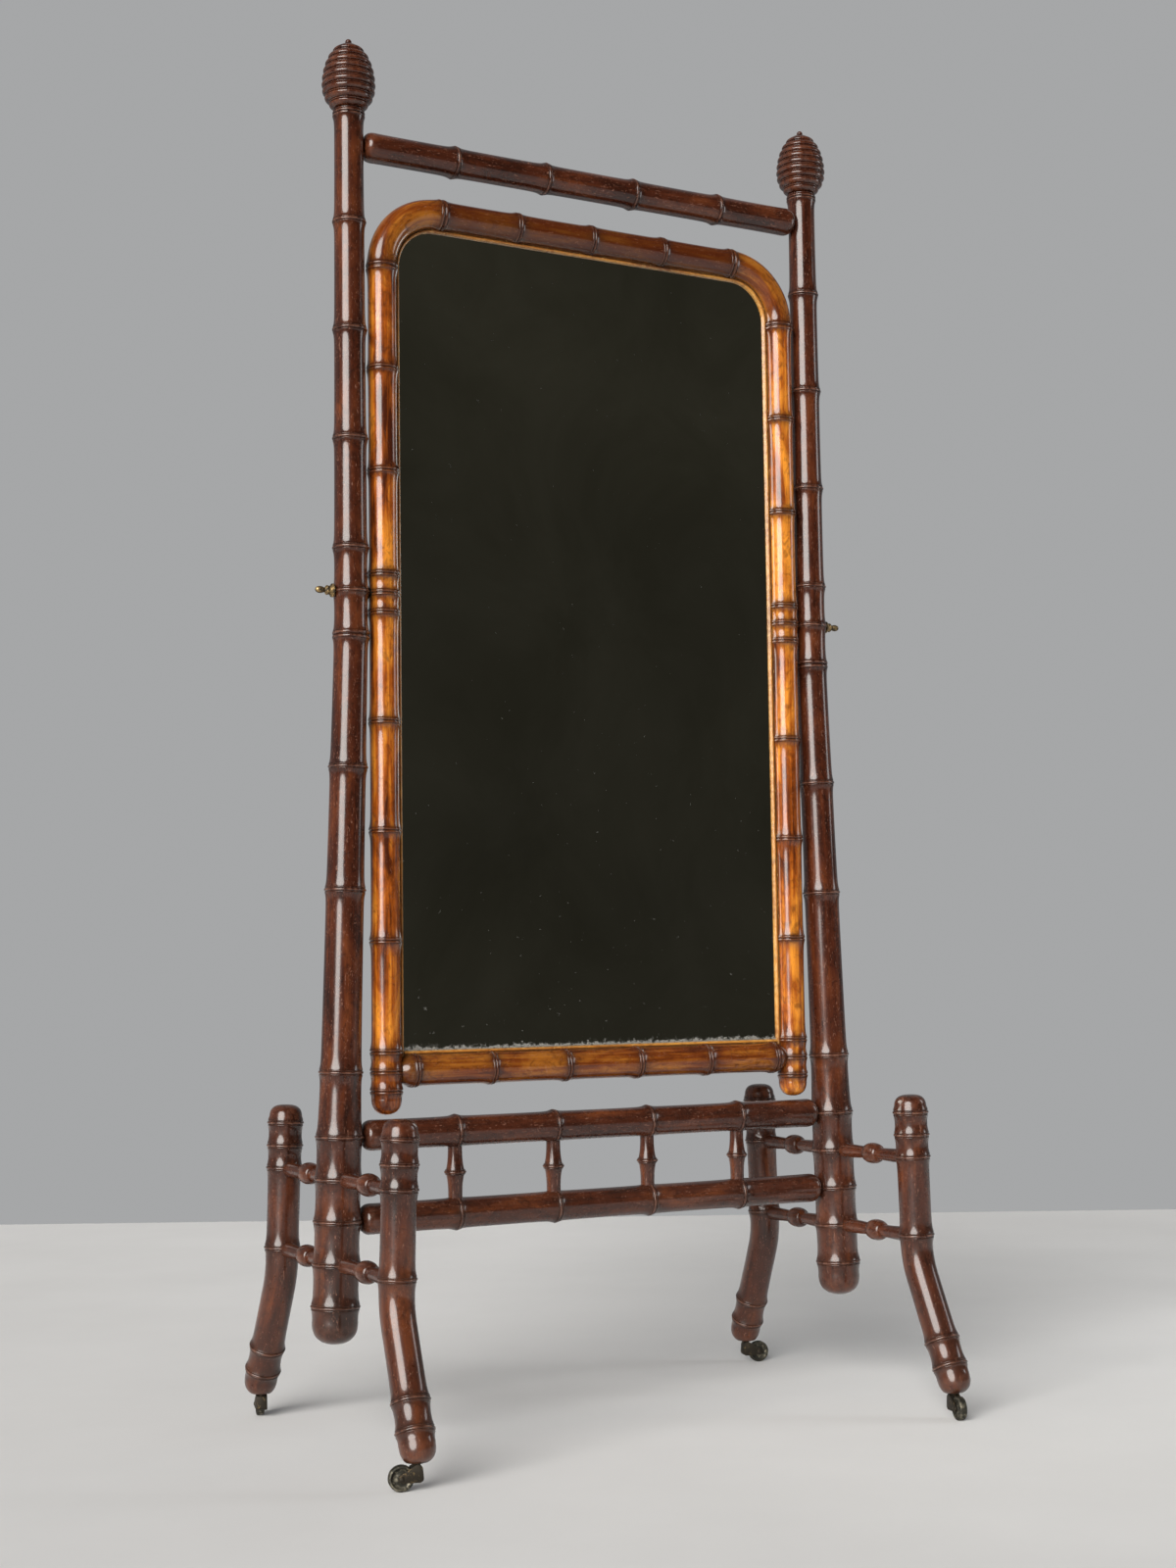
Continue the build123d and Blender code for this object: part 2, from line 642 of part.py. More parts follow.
def build_mirror():
    """Every piece of the tilting frame and its two pivot screws, by name."""
    pieces = slip_pieces()
    board_front = slip_back + glass_thickness
    edge = rebate_inset + glass_gap
    pieces["glass"] = window(edge, slip_back, board_front)
    pieces["back_board"] = window(edge, board_front, board_front + board_thickness)
    pieces["frame_top_rail"] = frame_top_rail()
    pieces["frame_bottom_rail"] = frame_bottom_rail()
    pieces["frame_corners"] = Compound([frame_corner(side) for side in sides.values()])
    pieces["pivot_bushes"] = Compound([pivot_bush(side) for side in sides.values()])
    for side_name, side in sides.items():
        pieces[f"stile_{side_name}"] = stile(side)
        pieces[f"pivot_screw_{side_name}"] = pivot_screw(side)
    return pieces


os.makedirs("parts", exist_ok=True)
for name, piece in {**build_stand(), **build_castors(), **build_mirror()}.items():
    export_step(piece, f"parts/{name}.step")
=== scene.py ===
import math

import bmesh
import bpy
from mathutils import Matrix, Vector


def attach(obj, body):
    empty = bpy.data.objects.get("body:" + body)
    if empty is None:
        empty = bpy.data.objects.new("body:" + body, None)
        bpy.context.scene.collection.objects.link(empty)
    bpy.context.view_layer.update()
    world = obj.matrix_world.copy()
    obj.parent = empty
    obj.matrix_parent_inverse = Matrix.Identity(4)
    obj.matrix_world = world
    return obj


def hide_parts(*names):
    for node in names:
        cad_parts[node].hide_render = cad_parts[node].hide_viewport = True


# The looks of a cheval mirror in turned imitation bamboo. Sizes are in millimetres, and meshes
# are made in metres. The turned pieces stand for plainer solids of the same size.

MM = 0.001

# Posts
post_spacing = 729.5
post_splay = 1.7
post_dome = (27.0, 2.4)
post_foot_radius = 29.4
post_stretcher_radius = 28.7
post_shoulder_radius = 26.4
post_joint_radius = 22.4
post_top_radius = 19.6
joint_height = 1044.0
pivot_height = 1102.0
base_rings = [180.0 + 53.4 * i for i in range(5)]
lower_rings = [476.0, 710.5, 870.7]
ring_gap = 58.0
collar_height = 1745.0
post_top_height = 1751.0
post_bays = 4

# Rings
single_ring = [(-2.8, 1.6, 0.9), (0.0, 4.0, 2.1), (2.8, 1.6, 0.9)]
double_ring = [(-2.1, 3.6, 1.6), (2.1, 3.6, 1.6)]
joint_ring = [(0.0, 4.4, 1.7)]
flare = 1.7  # how much a bay swells beside a ring
waist = 0.4  # how much it thins between its rings
flare_reach = 5.0  # how far the swell beside a ring fades
shade_reach = 7.0  # how far the darker wood beside a ring fades
bead_proud = 2.4  # how far a ring stands out of its bay
joint_ring_offset = 3.0  # from the joint of two pieces to the ring beside it
shoulder_gap = 0.1  # between the end of a rail and its post

# Rails, spindles and legs
rail_radius = 20.0
rail_dome = (16.0, 3.0)
top_rail_height = 1706.0
top_rail_rings = [-211.0, -70.3, 70.3, 211.0]
stretcher_rings = [-220.1, -73.4, 73.4, 220.1]
baluster_radius = 9.4
baluster_flare = 2.6  # how much a baluster swells towards its bead
baluster_bead_radius = 12.2
baluster_bead = [(-2.7, 1.4, 0.6), (0.0, 4.0, 2.0), (2.7, 1.4, 0.6)]
spindle_radius = 9.0
spindle_ball_radius = 14.5
spindle_ball_length = 30.0
leg_offset = 188.3
leg_radius = 22.1
leg_top = 426.2
leg_dome = (20.0, 3.0)
foot_dome = (23.5, 2.7)
leg_rings = [235.5, 341.7, 371.5, 402.0]
leg_bend_height = 200.0
leg_bend_radius = 110.0
foot_offset = 254.0
foot_height = 53.5
foot_flat_height = 33.0
foot_rings = [14.0, 49.0]

# Finials
finial_height = 99.0
finial_radius = 36.0
finial_neck_radius = 18.6
finial_ridges = 9
finial_groove_depth = 4.4
finial_fine_ridge_drop = 2.2  # of the fine ridges below the broad ones
finial_nub_radius = 4.4
finial_nub_height = 5.0

# Castors
castor_trail = 19.0
moving_gap = 0.4  # between faces that turn against each other
wheel_radius = 15.5
wheel_width = 10.0
castor_directions = {"front_left": 165, "rear_left": 75, "front_right": -105, "rear_right": -15}

# Mirror frame
half_stile_spacing = 317.75
rod_radius = 19.6
bottom_rod_radius = 20.6
frame_top_height = 1628.2
frame_bottom_height = 475.3
corner_radius = 79.4
corner_reach = 85.4
stile_dome = (19.0, 2.3)
rebate_inset = 8.0
rebate_front = 3.0
slip_outer = 16.3
slip_inner = 25.3
slip_front = -1.5
screw_depth = 20.0  # how far a pivot screw reaches into its stile
stile_ring_pitch = 25.6  # between the three rings at the pivot
foot_ring_pitch = 25.3  # between the three rings at the foot
neck_taper = 7.1  # how much the ends of the bottom rail narrow
stile_end_drop = 11.7  # from the lowest ring to the rim of the dome
bottom_rail_inset = 37.3  # from a stile's axis to the rail's last ring
glass_foot = frame_bottom_height + slip_inner

half_post_spacing = post_spacing / 2
sides = {"left": -1, "right": 1}
ends = {"front": -1, "rear": 1}
lower_post_stations = [
    (post_foot_radius, 160.0),
    (post_stretcher_radius, base_rings[-1]),
    (post_shoulder_radius, lower_rings[0]),
    (post_joint_radius, joint_height),
]
upper_post_stations = [(post_joint_radius, joint_height), (post_top_radius, post_top_height)]


# Outlines of turned pieces. A point is (radius, height, wear and painted light, nearness to a ring). Above
# zero the third value lightens a crest, partly as wear and partly as a painted highlight. Below zero it
# darkens a groove as painted shade.


def radius_at(stations, height):
    """The radius at a height, on the straight tapers between (radius, height) stations."""
    height = min(max(height, stations[0][1]), stations[-1][1])
    for (low_radius, low), (high_radius, high) in zip(stations, stations[1:]):
        if height <= high:
            return low_radius + (high_radius - low_radius) * (height - low) / (high - low)


def evenly(low, high, bays):
    """The heights between low and high that part them into equal bays, without the two ends."""
    return [low + (high - low) * i / bays for i in range(1, bays)]


def bay(stations, start, end, low_ring=True, high_ring=True):
    """A bay from ring to ring, with a slight waist and a swell beside each ring."""
    count = max(4, round((end - start) / 5))
    points = []
    for i in range(count + 1):
        height = start + (end - start) * (1 - math.cos(math.pi * i / count)) / 2
        beside_low = math.exp(-(height - start) / flare_reach) if low_ring else 0.0
        beside_high = math.exp(-(end - height) / flare_reach) if high_ring else 0.0
        swell = flare * (beside_low + beside_high) - waist * math.sin(math.pi * i / count)
        near_low = math.exp(-(height - start) / shade_reach) if low_ring else 0.0
        near_high = math.exp(-(end - height) / shade_reach) if high_ring else 0.0
        points.append((radius_at(stations, height) + swell, height, 0.0, max(near_low, near_high)))
    return points


def ring(radius, height, beads):
    """A ring of beads, each given as (offset, width, rise)."""
    points = []
    for offset, width, rise in beads:
        for i in range(9):
            angle = math.pi * i / 8
            lift = rise * math.sin(angle) ** 0.8
            # A bead's crest is lighter, partly as rubbed wear and partly as a painted highlight. Its feet are
            # darker: painted shade in the crease beside it.
            wear_highlight_and_shade = math.sin(angle) ** 4 * rise / 2.5 if 0 < i < 8 else -1.0
            place = height + offset - width / 2 * math.cos(angle)
            points.append((radius + 0.3 * flare + lift, place, wear_highlight_and_shade, 1.0))
    return points


def half_width(beads):
    """Half the width of a ring."""
    return max(abs(offset) + width / 2 for offset, width, rise in beads)


def dome(radius, rise, squareness):
    """A dome from beside its rim to near its tip, as (radius, height above the rim)."""
    points = []
    for i in range(1, 14):
        angle = math.pi / 2 * i / 14
        power = 2 / squareness
        points.append((radius * math.cos(angle) ** power, rise * math.sin(angle) ** power))
    return points + [(0.05, rise)]


def turning_outline(stations, rings, dome_below=None, dome_above=None):
    """The outline of a turning from its stations and its rings, given as (height, beads)."""
    points = []
    low, high = stations[0][1], stations[-1][1]
    # The domes carry a little of the crest lightening, partly as wear and partly as a painted highlight.
    if dome_below:
        radius = radius_at(stations, low)
        points += [(r, low - h, 0.2, 0.0) for r, h in reversed(dome(radius, *dome_below))]
    start = low
    ringed = False
    for height, beads in sorted(rings, key=lambda item: item[0]):
        half = half_width(beads)
        if height - half > start + 0.5:
            points += bay(stations, start, height - half, ringed, True)
        points += ring(radius_at(stations, height), height, beads)
        start = height + half
        ringed = True
    if high > start + 0.5:
        points += bay(stations, start, high, ringed, False)
    if dome_above:
        radius = radius_at(stations, high)
        points += [(r, high + h, 0.2, 0.0) for r, h in dome(radius, *dome_above)]
    return points


# Meshes


def finish_mesh(name, vertices, faces, values, body, material, replaced):
    """Makes an object of a mesh, gives it its values, material and body, and hides what it replaces."""
    mesh = bpy.data.meshes.new(name)
    mesh.from_pydata(vertices, [], faces)
    for key, kind, data in values:
        attribute = mesh.attributes.new(key, kind, "POINT")
        attribute.data.foreach_set("vector" if kind == "FLOAT_VECTOR" else "value", data)
    for polygon in mesh.polygons:
        polygon.use_smooth = True
    mesh.set_sharp_from_angle(angle=math.radians(50))
    mesh.materials.append(material)
    piece = bpy.data.objects.new(name, mesh)
    bpy.context.scene.collection.objects.link(piece)
    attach(piece, body)
    if replaced:
        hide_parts(*replaced)
    return piece


def turning(name, outlines, body, material, replaced=(), trim=None, segments=64, seed=0, deep=0.0):
    """One piece of turnings, each an outline and a spine that places each height of it. A darkening value
    darkens it, partly as darker wood and partly as painted shade.
    """
    vertices, faces, grain, wear, near = [], [], [], [], []
    for outline, spine in outlines:
        base = len(vertices)
        for radius, height, wear_highlight_and_shade, nearness in outline:
            place = spine(height)
            for i in range(segments):
                angle = 2 * math.pi * i / segments
                x, y = radius * math.cos(angle), radius * math.sin(angle)
                point = place @ Vector((x, y, 0))
                if trim:
                    point = trim(point)
                vertices.append(point * MM)
                grain += [x * MM + seed * 1.7, y * MM + seed * 2.3, height * MM + seed * 0.9]
                wear.append(wear_highlight_and_shade)
                near.append(nearness)
        for row in range(len(outline) - 1):
            for i in range(segments):
                this, following = base + row * segments + i, base + row * segments + (i + 1) % segments
                faces.append((this, following, following + segments, this + segments))
        last = base + (len(outline) - 1) * segments
        faces.append([base + i for i in reversed(range(segments))])
        faces.append([last + i for i in range(segments)])
    values = [("grain", "FLOAT_VECTOR", grain), ("wear", "FLOAT", wear), ("near", "FLOAT", near)]
    values.append(("deep", "FLOAT", [deep] * len(vertices)))
    return finish_mesh(name, vertices, faces, values, body, material, replaced)


def moved(x, y, z):
    return Matrix.Translation((x, y, z))


def turned(degrees, axis):
    return Matrix.Rotation(math.radians(degrees), 4, axis)


def upright(x, y=0.0, z=0.0):
    """A spine straight up."""
    return lambda height: moved(x, y, z + height)


def level(z):
    """A spine along X."""
    return lambda place: moved(place, 0, z) @ turned(90, "Y")


def along(base):
    """A spine along the Z axis of a place."""
    return lambda height: base @ moved(0, 0, height)


def on_side(side):
    """The place of a splayed side frame, whose post's axis is Z before it is placed."""
    joint = moved(side * half_post_spacing, 0, joint_height)
    return joint @ turned(-side * post_splay, "Y") @ moved(0, 0, -joint_height)


def splayed(side, place=Matrix()):
    """A spine along Z of a place in a splayed side frame."""
    return lambda height: on_side(side) @ place @ moved(0, 0, height)


# Materials


def new_material(name):
    material = bpy.data.materials.new(name)
    material.use_nodes = True
    material.node_tree.nodes.clear()
    output = material.node_tree.nodes.new("ShaderNodeOutputMaterial")
    shader = material.node_tree.nodes.new("ShaderNodeBsdfPrincipled")
    material.node_tree.links.new(shader.outputs[0], output.inputs["Surface"])
    return material, material.node_tree, shader


def add(tree, kind, settings=None, **inputs):
    """A node with its settings and inputs; an input is a value or another node's output."""
    node = tree.nodes.new(kind)
    for key, value in (settings or {}).items():
        setattr(node, key, value)
    for key, value in inputs.items():
        socket = node.inputs[key.replace("_", " ")] if not key.startswith("in") else node.inputs[int(key[2:])]
        if isinstance(value, bpy.types.NodeSocket):
            tree.links.new(value, socket)
        else:
            socket.default_value = value
    return node


def ramp(tree, factor, stops):
    """A colour ramp of (place, colour) stops."""
    node = tree.nodes.new("ShaderNodeValToRGB")
    tree.links.new(factor, node.inputs[0])
    while len(node.color_ramp.elements) < len(stops):
        node.color_ramp.elements.new(0.5)
    for element, (place, colour) in zip(node.color_ramp.elements, stops):
        element.position = place
        element.color = (*colour, 1)
    return node.outputs[0]


def grey(value):
    return (value, value, value)


def stretched_noise(tree, coordinates, scale, detail=6.0, roughness=0.6, distortion=0.0):
    """Noise of its own scale along each axis."""
    mapping = add(tree, "ShaderNodeMapping", Vector=coordinates, Scale=scale)
    noise = add(tree, "ShaderNodeTexNoise", Vector=mapping.outputs[0], Scale=1.0, Detail=detail,
                Roughness=roughness, Distortion=distortion)
    return noise.outputs["Fac"]


def blended(tree, factor, first, second, mode="MIX"):
    """Two colours mixed by a factor."""
    node = tree.nodes.new("ShaderNodeMix")
    node.data_type = "RGBA"
    node.blend_type = mode
    for socket, value in ((node.inputs[0], factor), (node.inputs[6], first), (node.inputs[7], second)):
        if isinstance(value, bpy.types.NodeSocket):
            tree.links.new(value, socket)
        elif isinstance(value, tuple):
            socket.default_value = (*value, 1)
        else:
            socket.default_value = value
    return node.outputs[2]


def arithmetic(tree, operation, first, second=0.0, clamp=False):
    settings = {"operation": operation, "use_clamp": clamp}
    return add(tree, "ShaderNodeMath", settings, in0=first, in1=second).outputs[0]


def polished_wood(name, tones, ring_tone, wear_and_highlight_tone, ring_share, figure, gloss):
    """Polished turned wood, darker beside the rings and dull near the floor, its grain along each turning.
    Its crests are lighter, partly as wear and partly as a painted highlight. Its grooves are darker, as
    painted shade. Some pieces are darker all over, partly as darker wood and partly as painted shade.
    """
    material, tree, shader = new_material(name)
    grain = add(tree, "ShaderNodeAttribute", {"attribute_name": "grain"}).outputs["Vector"]
    wear = add(tree, "ShaderNodeAttribute", {"attribute_name": "wear"}).outputs["Fac"]
    near = add(tree, "ShaderNodeAttribute", {"attribute_name": "near"}).outputs["Fac"]
    deep = add(tree, "ShaderNodeAttribute", {"attribute_name": "deep"}).outputs["Fac"]
    streaks = stretched_noise(tree, grain, (170, 170, 7), 8, 0.62, 0.4)
    clouds = stretched_noise(tree, grain, (28, 28, 9), 4, 0.55, 0.8)
    pores = stretched_noise(tree, grain, (1500, 1500, 60), 3, 0.5)
    mottle = stretched_noise(tree, grain, (75, 75, 48), 5, 0.7, 1.5)
    tone = arithmetic(tree, "MULTIPLY", streaks, 1 - figure)
    tone = arithmetic(tree, "ADD", tone, arithmetic(tree, "MULTIPLY", clouds, figure))
    colour = ramp(tree, tone, tones)
    spots = ramp(tree, mottle, [(0.50, grey(0)), (0.64, grey(1))])
    colour = blended(tree, arithmetic(tree, "MULTIPLY", spots, 0.55), colour, tones[0][1])
    # Some pieces are darkened towards the darkest tone, partly as darker wood and partly as painted shade.
    colour = blended(tree, deep, colour, tones[0][1])
    pore_lines = ramp(tree, pores, [(0.60, grey(0)), (0.72, grey(1))])
    colour = blended(tree, arithmetic(tree, "MULTIPLY", pore_lines, 0.3), colour, ring_tone)
    shade = arithmetic(tree, "MULTIPLY", near, arithmetic(tree, "ADD", clouds, 0.35))
    colour = blended(tree, arithmetic(tree, "MULTIPLY", shade, ring_share, True), colour, ring_tone)
    # Grooves and the feet of beads are darkened towards the ring tone: painted shade in the creases.
    groove = arithmetic(tree, "MULTIPLY", wear, -0.8, True)
    colour = blended(tree, groove, colour, ring_tone)
    # Crests are lightened in patches towards the lighter tone, partly as rubbed wear and partly as a painted
    # highlight.
    patch_noise = stretched_noise(tree, grain, (120, 120, 120), 4, 0.6)
    patchy = ramp(tree, patch_noise, [(0.40, grey(0)), (0.62, grey(1))])
    crest = arithmetic(tree, "MULTIPLY", arithmetic(tree, "MAXIMUM", wear, 0.0), patchy, True)
    colour = blended(tree, arithmetic(tree, "MULTIPLY", crest, 0.7), colour, wear_and_highlight_tone)
    nick = stretched_noise(tree, grain, (420, 420, 110), 2, 0.4, 2.0)
    nicks = ramp(tree, nick, [(0.665, grey(0)), (0.685, grey(1))])
    colour = blended(tree, arithmetic(tree, "MULTIPLY", nicks, 0.6), colour, wear_and_highlight_tone)
    place = add(tree, "ShaderNodeTexCoord").outputs["Object"]
    height = add(tree, "ShaderNodeSeparateXYZ", Vector=place).outputs["Z"]
    lowness = add(tree, "ShaderNodeMapRange", Value=height, From_Min=0.0, From_Max=0.55, To_Min=1.0,
                  To_Max=0.0)
    dust_noise = stretched_noise(tree, place, (14, 14, 9), 6, 0.65)
    dust = arithmetic(tree, "MULTIPLY", lowness.outputs[0], dust_noise)
    dust_share = arithmetic(tree, "MULTIPLY", dust, 0.5, True)
    colour = blended(tree, dust_share, colour, (0.052, 0.029, 0.019))
    tree.links.new(colour, shader.inputs["Base Color"])
    rough = arithmetic(tree, "ADD", arithmetic(tree, "MULTIPLY", patch_noise, 0.22), gloss)
    rough = arithmetic(tree, "ADD", rough, arithmetic(tree, "MULTIPLY", dust, 0.2))
    rough = arithmetic(tree, "ADD", rough, arithmetic(tree, "MULTIPLY", nicks, 0.25), True)
    tree.links.new(rough, shader.inputs["Roughness"])
    relief = arithmetic(tree, "MULTIPLY", streaks, 0.6)
    relief = arithmetic(tree, "ADD", relief, arithmetic(tree, "MULTIPLY", clouds, 0.8))
    relief = arithmetic(tree, "SUBTRACT", relief, arithmetic(tree, "MULTIPLY", nicks, 0.5))
    bump = add(tree, "ShaderNodeBump", Strength=0.15, Distance=0.0005, Height=relief)
    tree.links.new(bump.outputs[0], shader.inputs["Normal"])
    shader.inputs["Specular IOR Level"].default_value = 0.25
    shader.inputs["Coat Weight"].default_value = 0.6
    shader.inputs["Coat Roughness"].default_value = 0.11
    return material


def plain_wood():
    """The unpolished board behind the glass, with upright grain."""
    material, tree, shader = new_material("board_wood")
    place = add(tree, "ShaderNodeTexCoord").outputs["Object"]
    streaks = stretched_noise(tree, place, (90, 40, 2.2), 8, 0.6, 0.6)
    clouds = stretched_noise(tree, place, (5, 5, 1.2), 4, 0.5, 0.4)
    tone = arithmetic(tree, "MULTIPLY", streaks, 0.6)
    tone = arithmetic(tree, "ADD", tone, arithmetic(tree, "MULTIPLY", clouds, 0.4))
    colour = ramp(tree, tone, board_tones)
    tree.links.new(colour, shader.inputs["Base Color"])
    rough = arithmetic(tree, "ADD", arithmetic(tree, "MULTIPLY", clouds, 0.2), 0.5)
    tree.links.new(rough, shader.inputs["Roughness"])
    bump = add(tree, "ShaderNodeBump", Strength=0.4, Distance=0.0008, Height=streaks)
    tree.links.new(bump.outputs[0], shader.inputs["Normal"])
    return material


def mirror_glass():
    """Old silvered glass, with faint clouds, dark specks and flaking silver along its foot."""
    material, tree, shader = new_material("mirror_glass")
    place = add(tree, "ShaderNodeTexCoord").outputs["Object"]
    clouds = stretched_noise(tree, place, (5, 5, 4), 5, 0.6, 0.6)
    specks = stretched_noise(tree, place, (140, 140, 140), 3, 0.6)
    speck = ramp(tree, specks, [(0.70, grey(0)), (0.76, grey(1))])
    silver = ramp(tree, clouds, [(0.35, (0.60, 0.60, 0.55)), (0.65, (0.78, 0.78, 0.74))])
    colour = blended(tree, arithmetic(tree, "MULTIPLY", speck, 0.7), silver, (0.08, 0.07, 0.05))
    height = add(tree, "ShaderNodeSeparateXYZ", Vector=place).outputs["Z"]
    lowest = glass_foot * MM
    edge = add(tree, "ShaderNodeMapRange", Value=height, From_Min=lowest, From_Max=lowest + 0.012,
               To_Min=0.35, To_Max=0.0)
    flakes = stretched_noise(tree, place, (170, 170, 260), 6, 0.75)
    loss = ramp(tree, arithmetic(tree, "ADD", flakes, edge.outputs[0]), [(0.72, grey(0)), (0.95, grey(1))])
    colour = blended(tree, loss, colour, (0.060, 0.046, 0.027))
    tree.links.new(colour, shader.inputs["Base Color"])
    tree.links.new(arithmetic(tree, "SUBTRACT", 1.0, loss), shader.inputs["Metallic"])
    rough = arithmetic(tree, "MULTIPLY", clouds, 0.03)
    rough = arithmetic(tree, "ADD", rough, arithmetic(tree, "MULTIPLY", speck, 0.4))
    rough = arithmetic(tree, "ADD", rough, arithmetic(tree, "MULTIPLY", loss, 0.5), True)
    tree.links.new(rough, shader.inputs["Roughness"])
    return material


def aged_brass(name, bright, dark, share):
    """Brass that has darkened, rubbed bright in places."""
    material, tree, shader = new_material(name)
    place = add(tree, "ShaderNodeTexCoord").outputs["Object"]
    patches = stretched_noise(tree, place, (160, 160, 160), 6, 0.65, 0.5)
    fine = stretched_noise(tree, place, (900, 900, 900), 4, 0.6)
    handled = add(tree, "ShaderNodeAttribute", {"attribute_name": "wear"}).outputs["Fac"]
    patchy = arithmetic(tree, "ADD", patches, arithmetic(tree, "MULTIPLY", handled, 0.16))
    mask = ramp(tree, patchy, [(share, grey(0)), (share + 0.22, grey(1))])
    colour = blended(tree, mask, dark, bright)
    tree.links.new(colour, shader.inputs["Base Color"])
    shader.inputs["Metallic"].default_value = 0.9
    rough = arithmetic(tree, "SUBTRACT", 0.58, arithmetic(tree, "MULTIPLY", mask, 0.24))
    rough = arithmetic(tree, "ADD", rough, arithmetic(tree, "MULTIPLY", fine, 0.12))
    tree.links.new(rough, shader.inputs["Roughness"])
    bump = add(tree, "ShaderNodeBump", Strength=0.3, Distance=0.0003, Height=fine)
    tree.links.new(bump.outputs[0], shader.inputs["Normal"])
    return material


# Ramps from the dark tone of a wood to its light one, as (place, colour)
stand_tones = [(0.33, (0.014, 0.0040, 0.0024)), (0.5, (0.058, 0.0138, 0.0056)), (0.69, (0.15, 0.040, 0.0120))]
frame_tones = [(0.38, (0.052, 0.010, 0.0025)), (0.48, (0.29, 0.066, 0.006)), (0.60, (0.68, 0.245, 0.026))]
slip_tones = [(0.34, (0.10, 0.028, 0.006)), (0.5, (0.36, 0.13, 0.018)), (0.7, (0.60, 0.29, 0.05))]
board_tones = [(0.3, (0.10, 0.045, 0.02)), (0.5, (0.22, 0.11, 0.05)), (0.7, (0.34, 0.19, 0.09))]

# Each wood's lighter tone colours its crests, partly as wear and partly as a painted highlight, and colours
# its nicks as wear.
stand_wood = polished_wood("stand_wood", stand_tones, ring_tone=(0.008, 0.003, 0.002),
                           wear_and_highlight_tone=(0.24, 0.11, 0.07), ring_share=0.5, figure=0.66, gloss=0.13)
frame_wood = polished_wood("frame_wood", frame_tones, ring_tone=(0.030, 0.008, 0.004),
                           wear_and_highlight_tone=(0.17, 0.065, 0.03), ring_share=0.95, figure=0.55, gloss=0.12)
slip_wood = polished_wood("slip_wood", slip_tones, ring_tone=(0.05, 0.02, 0.008),
                          wear_and_highlight_tone=(0.70, 0.45, 0.16), ring_share=0.3, figure=0.5, gloss=0.2)
board_wood = plain_wood()
silver = mirror_glass()
dark_brass = aged_brass("brass", (0.50, 0.34, 0.15), (0.045, 0.038, 0.029), 0.57)
wheel_brass = aged_brass("castor_wheel", (0.30, 0.27, 0.20), (0.045, 0.043, 0.035), 0.49)


# The stand


def singles(heights):
    return [(height, single_ring) for height in heights]


def make_posts():
    for number, (side_name, side) in enumerate(sides.items()):
        rings = singles(base_rings + lower_rings) + [(joint_height - joint_ring_offset, joint_ring)]
        outline = turning_outline(lower_post_stations, rings, dome_below=post_dome)
        turning(f"post_lower_{side_name}", [(outline, splayed(side))], "stand", stand_wood,
                [f"lower_post_{side_name}"], seed=number + 1)
        first = pivot_height + ring_gap
        rings = [(joint_height + joint_ring_offset, joint_ring)]
        rings += singles([pivot_height, first] + evenly(first, collar_height, post_bays))
        rings.append((collar_height, double_ring))
        outline = turning_outline(upper_post_stations, rings)
        spine = upright(side * half_post_spacing)
        turning(f"post_upper_{side_name}", [(outline, spine)], "stand", stand_wood,
                [f"upper_post_{side_name}"], seed=number + 3)


def finial_envelope(height):
    """The egg outline that the ridges of a finial touch."""
    body = finial_height - finial_nub_height
    widest = 0.36 * body
    if height > widest:
        return max(finial_radius * math.sqrt(max(0.0, 1 - ((height - widest) / (body - widest)) ** 2)), 4.5)
    neck = math.sqrt(1 - (finial_neck_radius / finial_radius) ** 2)
    return finial_radius * math.sqrt(1 - (neck * (widest - height) / widest) ** 2)


def finial_outline():
    """Broad round ridges with a fine one between each two, from the neck up to a small nub."""
    pitch = (finial_height - finial_nub_height) / (finial_ridges + 0.5)
    points = [(finial_neck_radius, 0.0, -1.0, 0.8)]
    for ridge in range(finial_ridges):
        start = (ridge + 0.12) * pitch
        for share, width, top in ((0.0, 0.8, 0.0), (0.8, 0.2, finial_fine_ridge_drop)):
            for i in range(9):
                angle = math.pi * i / 8
                height = start + pitch * (share + width * (1 - math.cos(angle)) / 2)
                crest = math.sin(angle) ** 0.8
                radius = finial_envelope(height) - top - (finial_groove_depth - top) * (1 - crest)
                # Ridge crests are lighter, partly as rubbed wear and partly as a painted highlight. The
                # grooves between the ridges are darker: painted shade.
                wear_highlight_and_shade = 0.3 * crest**4 if 0 < i < 8 else -1.0
                points.append((max(radius, 4.0), height, wear_highlight_and_shade, 0.3))
    body = finial_height - finial_nub_height
    # The groove under the nub is darker, as painted shade. The nub is lighter, partly as wear and partly as a
    # painted highlight.
    points.append((finial_nub_radius, body - 0.5, -0.5, 0.5))
    nub = dome(finial_nub_radius, finial_nub_height, 2.2)
    points += [(r, body + h, 0.6, 0.2) for r, h in nub]
    return points


def make_finials():
    outline = finial_outline()
    outlines = [(outline, upright(side * half_post_spacing, 0, post_top_height)) for side in sides.values()]
    turning("finial_pair", outlines, "stand", stand_wood, ["finials"], seed=6)


def post_axis_height(height):
    """The height above the floor of a point of a lower post's axis."""
    return (on_side(1) @ Vector((0, 0, height))).z


def rail_outline(half_length, rings):
    end = half_length - rail_dome[0]
    stations = [(rail_radius, -end), (rail_radius, end)]
    return turning_outline(stations, singles(rings), rail_dome, rail_dome)


def leg_seat(height):
    return radius_at(lower_post_stations, height) + bead_proud


